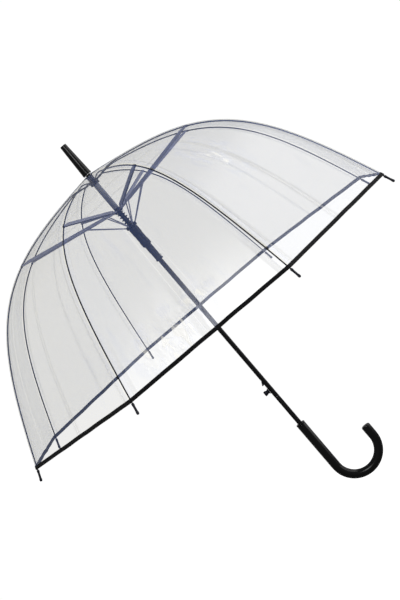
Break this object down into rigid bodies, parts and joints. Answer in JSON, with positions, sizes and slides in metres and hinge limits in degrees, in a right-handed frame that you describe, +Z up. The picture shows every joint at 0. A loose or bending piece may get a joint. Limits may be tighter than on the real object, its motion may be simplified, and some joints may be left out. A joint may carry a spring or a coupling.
{
  "type": "stick umbrella",
  "caption": "Open stick umbrella with a clear domed film canopy, black hem binding, hooked handle, spring runner and release button.",
  "frame": {"origin": "on the shaft's axis at the middle of the straight grip of the handle", "axes": "+Z up the shaft to the ferrule, +X from the shaft to the free leg of the hook, -X the side of the release button"},
  "size_m": [0.812, 0.812, 0.8383],
  "materials": {
    "gloss_black": "glossy moulded",
    "black_plastic": "satin moulded",
    "shaft_steel": "black enamel",
    "rib_steel": "black enamel",
    "painted_channel": "black enamel",
    "spring_steel": "blackened spring wire",
    "bright_steel": "plated",
    "smoked_sleeve": "translucent",
    "clear_film": "clear soft plastic film",
    "black_binding": "woven tape"
  },
  "bodies": {
    "root": {"shaft": "shaft_steel", "ferrule": "gloss_black", "film_washer": "bright_steel", "canopy_film": "clear_film", "hem_binding": "black_binding", "top_notch": "black_plastic", "stop_sleeve": "smoked_sleeve", "handle": "gloss_black", "handle_collar": "gloss_black", "catch_pin": "bright_steel", "button_post": "black_plastic"},
    "upper_rib_1": {"upper_rib_1": "rib_steel"},
    "lower_rib_1": {"lower_rib_1": "rib_steel", "rib_tip_1": "black_plastic"},
    "stretcher_1": {"stretcher_1": "painted_channel"},
    "link_1": {"link_1": "painted_channel"},
    "upper_rib_2": {"upper_rib_2": "rib_steel"},
    "lower_rib_2": {"lower_rib_2": "rib_steel", "rib_tip_2": "black_plastic"},
    "stretcher_2": {"stretcher_2": "painted_channel"},
    "link_2": {"link_2": "painted_channel"},
    "upper_rib_3": {"upper_rib_3": "rib_steel"},
    "lower_rib_3": {"lower_rib_3": "rib_steel", "rib_tip_3": "black_plastic"},
    "stretcher_3": {"stretcher_3": "painted_channel"},
    "link_3": {"link_3": "painted_channel"},
    "upper_rib_4": {"upper_rib_4": "rib_steel"},
    "lower_rib_4": {"lower_rib_4": "rib_steel", "rib_tip_4": "black_plastic"},
    "stretcher_4": {"stretcher_4": "painted_channel"},
    "link_4": {"link_4": "painted_channel"},
    "upper_rib_5": {"upper_rib_5": "rib_steel"},
    "lower_rib_5": {"lower_rib_5": "rib_steel", "rib_tip_5": "black_plastic"},
    "stretcher_5": {"stretcher_5": "painted_channel"},
    "link_5": {"link_5": "painted_channel"},
    "upper_rib_6": {"upper_rib_6": "rib_steel"},
    "lower_rib_6": {"lower_rib_6": "rib_steel", "rib_tip_6": "black_plastic"},
    "stretcher_6": {"stretcher_6": "painted_channel"},
    "link_6": {"link_6": "painted_channel"},
    "upper_rib_7": {"upper_rib_7": "rib_steel"},
    "lower_rib_7": {"lower_rib_7": "rib_steel", "rib_tip_7": "black_plastic"},
    "stretcher_7": {"stretcher_7": "painted_channel"},
    "link_7": {"link_7": "painted_channel"},
    "upper_rib_8": {"upper_rib_8": "rib_steel"},
    "lower_rib_8": {"lower_rib_8": "rib_steel", "rib_tip_8": "black_plastic"},
    "stretcher_8": {"stretcher_8": "painted_channel"},
    "link_8": {"link_8": "painted_channel"},
    "slider": {"slider_crown": "black_plastic", "opening_spring": "spring_steel"},
    "runner": {"runner_crown": "black_plastic", "runner_body": "black_plastic", "runner_sleeve": "black_plastic", "runner_rivet": "bright_steel"},
    "catch": {"catch": "spring_steel"},
    "release_button": {"release_button": "black_plastic"}
  },
  "joints": [
    {"name": "rib_fold_1", "type": "hinge", "parent": "root", "child": "upper_rib_1", "pos_m": [0.00665, 0.00276, 0.643], "axis": [-0.3827, 0.9239, 0], "range_deg": [0, 70.34], "stiffness_Nm_per_rad": 0.35, "springref_deg": -171.89, "deforming": ["canopy_film", "hem_binding", "opening_spring"]},
    {"name": "rib_bend_1", "type": "hinge", "parent": "upper_rib_1", "child": "lower_rib_1", "pos_m": [0.19265, 0.0798, 0.60873], "axis": [-0.3827, 0.9239, 0], "range_deg": [-31.91, 0]},
    {"name": "stretcher_fold_1", "type": "hinge", "parent": "upper_rib_1", "child": "stretcher_1", "pos_m": [0.19265, 0.0798, 0.60873], "axis": [-0.3827, 0.9239, 0], "range_deg": [-140.69, 0]},
    {"name": "link_fold_1", "type": "hinge", "parent": "runner", "child": "link_1", "pos_m": [0.00868, 0.0036, 0.53796], "axis": [-0.3827, 0.9239, 0], "range_deg": [-46.54, 0]},
    {"name": "rib_fold_2", "type": "hinge", "parent": "root", "child": "upper_rib_2", "pos_m": [0.00276, 0.00665, 0.643], "axis": [-0.9239, 0.3827, 0], "range_deg": [0, 70.34]},
    {"name": "rib_bend_2", "type": "hinge", "parent": "upper_rib_2", "child": "lower_rib_2", "pos_m": [0.0798, 0.19265, 0.60873], "axis": [-0.9239, 0.3827, 0], "range_deg": [-31.91, 0]},
    {"name": "stretcher_fold_2", "type": "hinge", "parent": "upper_rib_2", "child": "stretcher_2", "pos_m": [0.0798, 0.19265, 0.60873], "axis": [-0.9239, 0.3827, 0], "range_deg": [-140.69, 0]},
    {"name": "link_fold_2", "type": "hinge", "parent": "runner", "child": "link_2", "pos_m": [0.0036, 0.00868, 0.53796], "axis": [-0.9239, 0.3827, 0], "range_deg": [-46.54, 0]},
    {"name": "rib_fold_3", "type": "hinge", "parent": "root", "child": "upper_rib_3", "pos_m": [-0.00276, 0.00665, 0.643], "axis": [-0.9239, -0.3827, 0], "range_deg": [0, 70.34]},
    {"name": "rib_bend_3", "type": "hinge", "parent": "upper_rib_3", "child": "lower_rib_3", "pos_m": [-0.0798, 0.19265, 0.60873], "axis": [-0.9239, -0.3827, 0], "range_deg": [-31.91, 0]},
    {"name": "stretcher_fold_3", "type": "hinge", "parent": "upper_rib_3", "child": "stretcher_3", "pos_m": [-0.0798, 0.19265, 0.60873], "axis": [-0.9239, -0.3827, 0], "range_deg": [-140.69, 0]},
    {"name": "link_fold_3", "type": "hinge", "parent": "runner", "child": "link_3", "pos_m": [-0.0036, 0.00868, 0.53796], "axis": [-0.9239, -0.3827, 0], "range_deg": [-46.54, 0]},
    {"name": "rib_fold_4", "type": "hinge", "parent": "root", "child": "upper_rib_4", "pos_m": [-0.00665, 0.00276, 0.643], "axis": [-0.3827, -0.9239, 0], "range_deg": [0, 70.34]},
    {"name": "rib_bend_4", "type": "hinge", "parent": "upper_rib_4", "child": "lower_rib_4", "pos_m": [-0.19265, 0.0798, 0.60873], "axis": [-0.3827, -0.9239, 0], "range_deg": [-31.91, 0]},
    {"name": "stretcher_fold_4", "type": "hinge", "parent": "upper_rib_4", "child": "stretcher_4", "pos_m": [-0.19265, 0.0798, 0.60873], "axis": [-0.3827, -0.9239, 0], "range_deg": [-140.69, 0]},
    {"name": "link_fold_4", "type": "hinge", "parent": "runner", "child": "link_4", "pos_m": [-0.00868, 0.0036, 0.53796], "axis": [-0.3827, -0.9239, 0], "range_deg": [-46.54, 0]},
    {"name": "rib_fold_5", "type": "hinge", "parent": "root", "child": "upper_rib_5", "pos_m": [-0.00665, -0.00276, 0.643], "axis": [0.3827, -0.9239, 0], "range_deg": [0, 70.34]},
    {"name": "rib_bend_5", "type": "hinge", "parent": "upper_rib_5", "child": "lower_rib_5", "pos_m": [-0.19265, -0.0798, 0.60873], "axis": [0.3827, -0.9239, 0], "range_deg": [-31.91, 0]},
    {"name": "stretcher_fold_5", "type": "hinge", "parent": "upper_rib_5", "child": "stretcher_5", "pos_m": [-0.19265, -0.0798, 0.60873], "axis": [0.3827, -0.9239, 0], "range_deg": [-140.69, 0]},
    {"name": "link_fold_5", "type": "hinge", "parent": "runner", "child": "link_5", "pos_m": [-0.00868, -0.0036, 0.53796], "axis": [0.3827, -0.9239, 0], "range_deg": [-46.54, 0]},
    {"name": "rib_fold_6", "type": "hinge", "parent": "root", "child": "upper_rib_6", "pos_m": [-0.00276, -0.00665, 0.643], "axis": [0.9239, -0.3827, 0], "range_deg": [0, 70.34]},
    {"name": "rib_bend_6", "type": "hinge", "parent": "upper_rib_6", "child": "lower_rib_6", "pos_m": [-0.0798, -0.19265, 0.60873], "axis": [0.9239, -0.3827, 0], "range_deg": [-31.91, 0]},
    {"name": "stretcher_fold_6", "type": "hinge", "parent": "upper_rib_6", "child": "stretcher_6", "pos_m": [-0.0798, -0.19265, 0.60873], "axis": [0.9239, -0.3827, 0], "range_deg": [-140.69, 0]},
    {"name": "link_fold_6", "type": "hinge", "parent": "runner", "child": "link_6", "pos_m": [-0.0036, -0.00868, 0.53796], "axis": [0.9239, -0.3827, 0], "range_deg": [-46.54, 0]},
    {"name": "rib_fold_7", "type": "hinge", "parent": "root", "child": "upper_rib_7", "pos_m": [0.00276, -0.00665, 0.643], "axis": [0.9239, 0.3827, 0], "range_deg": [0, 70.34]},
    {"name": "rib_bend_7", "type": "hinge", "parent": "upper_rib_7", "child": "lower_rib_7", "pos_m": [0.0798, -0.19265, 0.60873], "axis": [0.9239, 0.3827, 0], "range_deg": [-31.91, 0]},
    {"name": "stretcher_fold_7", "type": "hinge", "parent": "upper_rib_7", "child": "stretcher_7", "pos_m": [0.0798, -0.19265, 0.60873], "axis": [0.9239, 0.3827, 0], "range_deg": [-140.69, 0]},
    {"name": "link_fold_7", "type": "hinge", "parent": "runner", "child": "link_7", "pos_m": [0.0036, -0.00868, 0.53796], "axis": [0.9239, 0.3827, 0], "range_deg": [-46.54, 0]},
    {"name": "rib_fold_8", "type": "hinge", "parent": "root", "child": "upper_rib_8", "pos_m": [0.00665, -0.00276, 0.643], "axis": [0.3827, 0.9239, 0], "range_deg": [0, 70.34]},
    {"name": "rib_bend_8", "type": "hinge", "parent": "upper_rib_8", "child": "lower_rib_8", "pos_m": [0.19265, -0.0798, 0.60873], "axis": [0.3827, 0.9239, 0], "range_deg": [-31.91, 0]},
    {"name": "stretcher_fold_8", "type": "hinge", "parent": "upper_rib_8", "child": "stretcher_8", "pos_m": [0.19265, -0.0798, 0.60873], "axis": [0.3827, 0.9239, 0], "range_deg": [-140.69, 0]},
    {"name": "link_fold_8", "type": "hinge", "parent": "runner", "child": "link_8", "pos_m": [0.00868, -0.0036, 0.53796], "axis": [0.3827, 0.9239, 0], "range_deg": [-46.54, 0]},
    {"name": "slider_pivot", "type": "hinge", "parent": "stretcher_1", "child": "slider", "pos_m": [0.00665, 0.00276, 0.57446], "axis": [-0.3827, 0.9239, 0], "range_deg": [0, 70.35]},
    {"name": "runner_slide", "type": "slide", "parent": "slider", "child": "runner", "axis": [0, 0, 1], "range_m": [0, 0.02337]},
    {"name": "button_press", "type": "slide", "parent": "root", "child": "release_button", "axis": [1, 0, 0], "range_m": [0, 0.00225], "stiffness_N_per_m": 400, "springref_m": -0.001},
    {"name": "catch_turn", "type": "hinge", "parent": "root", "child": "catch", "pos_m": [0, 0, 0.12], "axis": [0, 1, 0], "range_deg": [0, 7.6]}
  ],
  "couplings": [
    {"joint": "rib_bend_1", "follows": "rib_fold_1", "ratio": -0.45351},
    {"joint": "stretcher_fold_1", "follows": "rib_fold_1", "ratio": -2},
    {"joint": "link_fold_1", "follows": "rib_fold_1", "ratio": -0.66144},
    {"joint": "rib_fold_2", "follows": "rib_fold_1", "ratio": 1},
    {"joint": "rib_bend_2", "follows": "rib_fold_1", "ratio": -0.45351},
    {"joint": "stretcher_fold_2", "follows": "rib_fold_1", "ratio": -2},
    {"joint": "link_fold_2", "follows": "rib_fold_1", "ratio": -0.66144},
    {"joint": "rib_fold_3", "follows": "rib_fold_1", "ratio": 1},
    {"joint": "rib_bend_3", "follows": "rib_fold_1", "ratio": -0.45351},
    {"joint": "stretcher_fold_3", "follows": "rib_fold_1", "ratio": -2},
    {"joint": "link_fold_3", "follows": "rib_fold_1", "ratio": -0.66144},
    {"joint": "rib_fold_4", "follows": "rib_fold_1", "ratio": 1},
    {"joint": "rib_bend_4", "follows": "rib_fold_1", "ratio": -0.45351},
    {"joint": "stretcher_fold_4", "follows": "rib_fold_1", "ratio": -2},
    {"joint": "link_fold_4", "follows": "rib_fold_1", "ratio": -0.66144},
    {"joint": "rib_fold_5", "follows": "rib_fold_1", "ratio": 1},
    {"joint": "rib_bend_5", "follows": "rib_fold_1", "ratio": -0.45351},
    {"joint": "stretcher_fold_5", "follows": "rib_fold_1", "ratio": -2},
    {"joint": "link_fold_5", "follows": "rib_fold_1", "ratio": -0.66144},
    {"joint": "rib_fold_6", "follows": "rib_fold_1", "ratio": 1},
    {"joint": "rib_bend_6", "follows": "rib_fold_1", "ratio": -0.45351},
    {"joint": "stretcher_fold_6", "follows": "rib_fold_1", "ratio": -2},
    {"joint": "link_fold_6", "follows": "rib_fold_1", "ratio": -0.66144},
    {"joint": "rib_fold_7", "follows": "rib_fold_1", "ratio": 1},
    {"joint": "rib_bend_7", "follows": "rib_fold_1", "ratio": -0.45351},
    {"joint": "stretcher_fold_7", "follows": "rib_fold_1", "ratio": -2},
    {"joint": "link_fold_7", "follows": "rib_fold_1", "ratio": -0.66144},
    {"joint": "rib_fold_8", "follows": "rib_fold_1", "ratio": 1},
    {"joint": "rib_bend_8", "follows": "rib_fold_1", "ratio": -0.45351},
    {"joint": "stretcher_fold_8", "follows": "rib_fold_1", "ratio": -2},
    {"joint": "link_fold_8", "follows": "rib_fold_1", "ratio": -0.66144},
    {"joint": "slider_pivot", "follows": "rib_fold_1", "ratio": 1},
    {"joint": "runner_slide", "follows": "rib_fold_1", "m_per_rad": 0.01903},
    {"joint": "catch_turn", "follows": "button_press", "rad_per_m": 58.894}
  ]
}
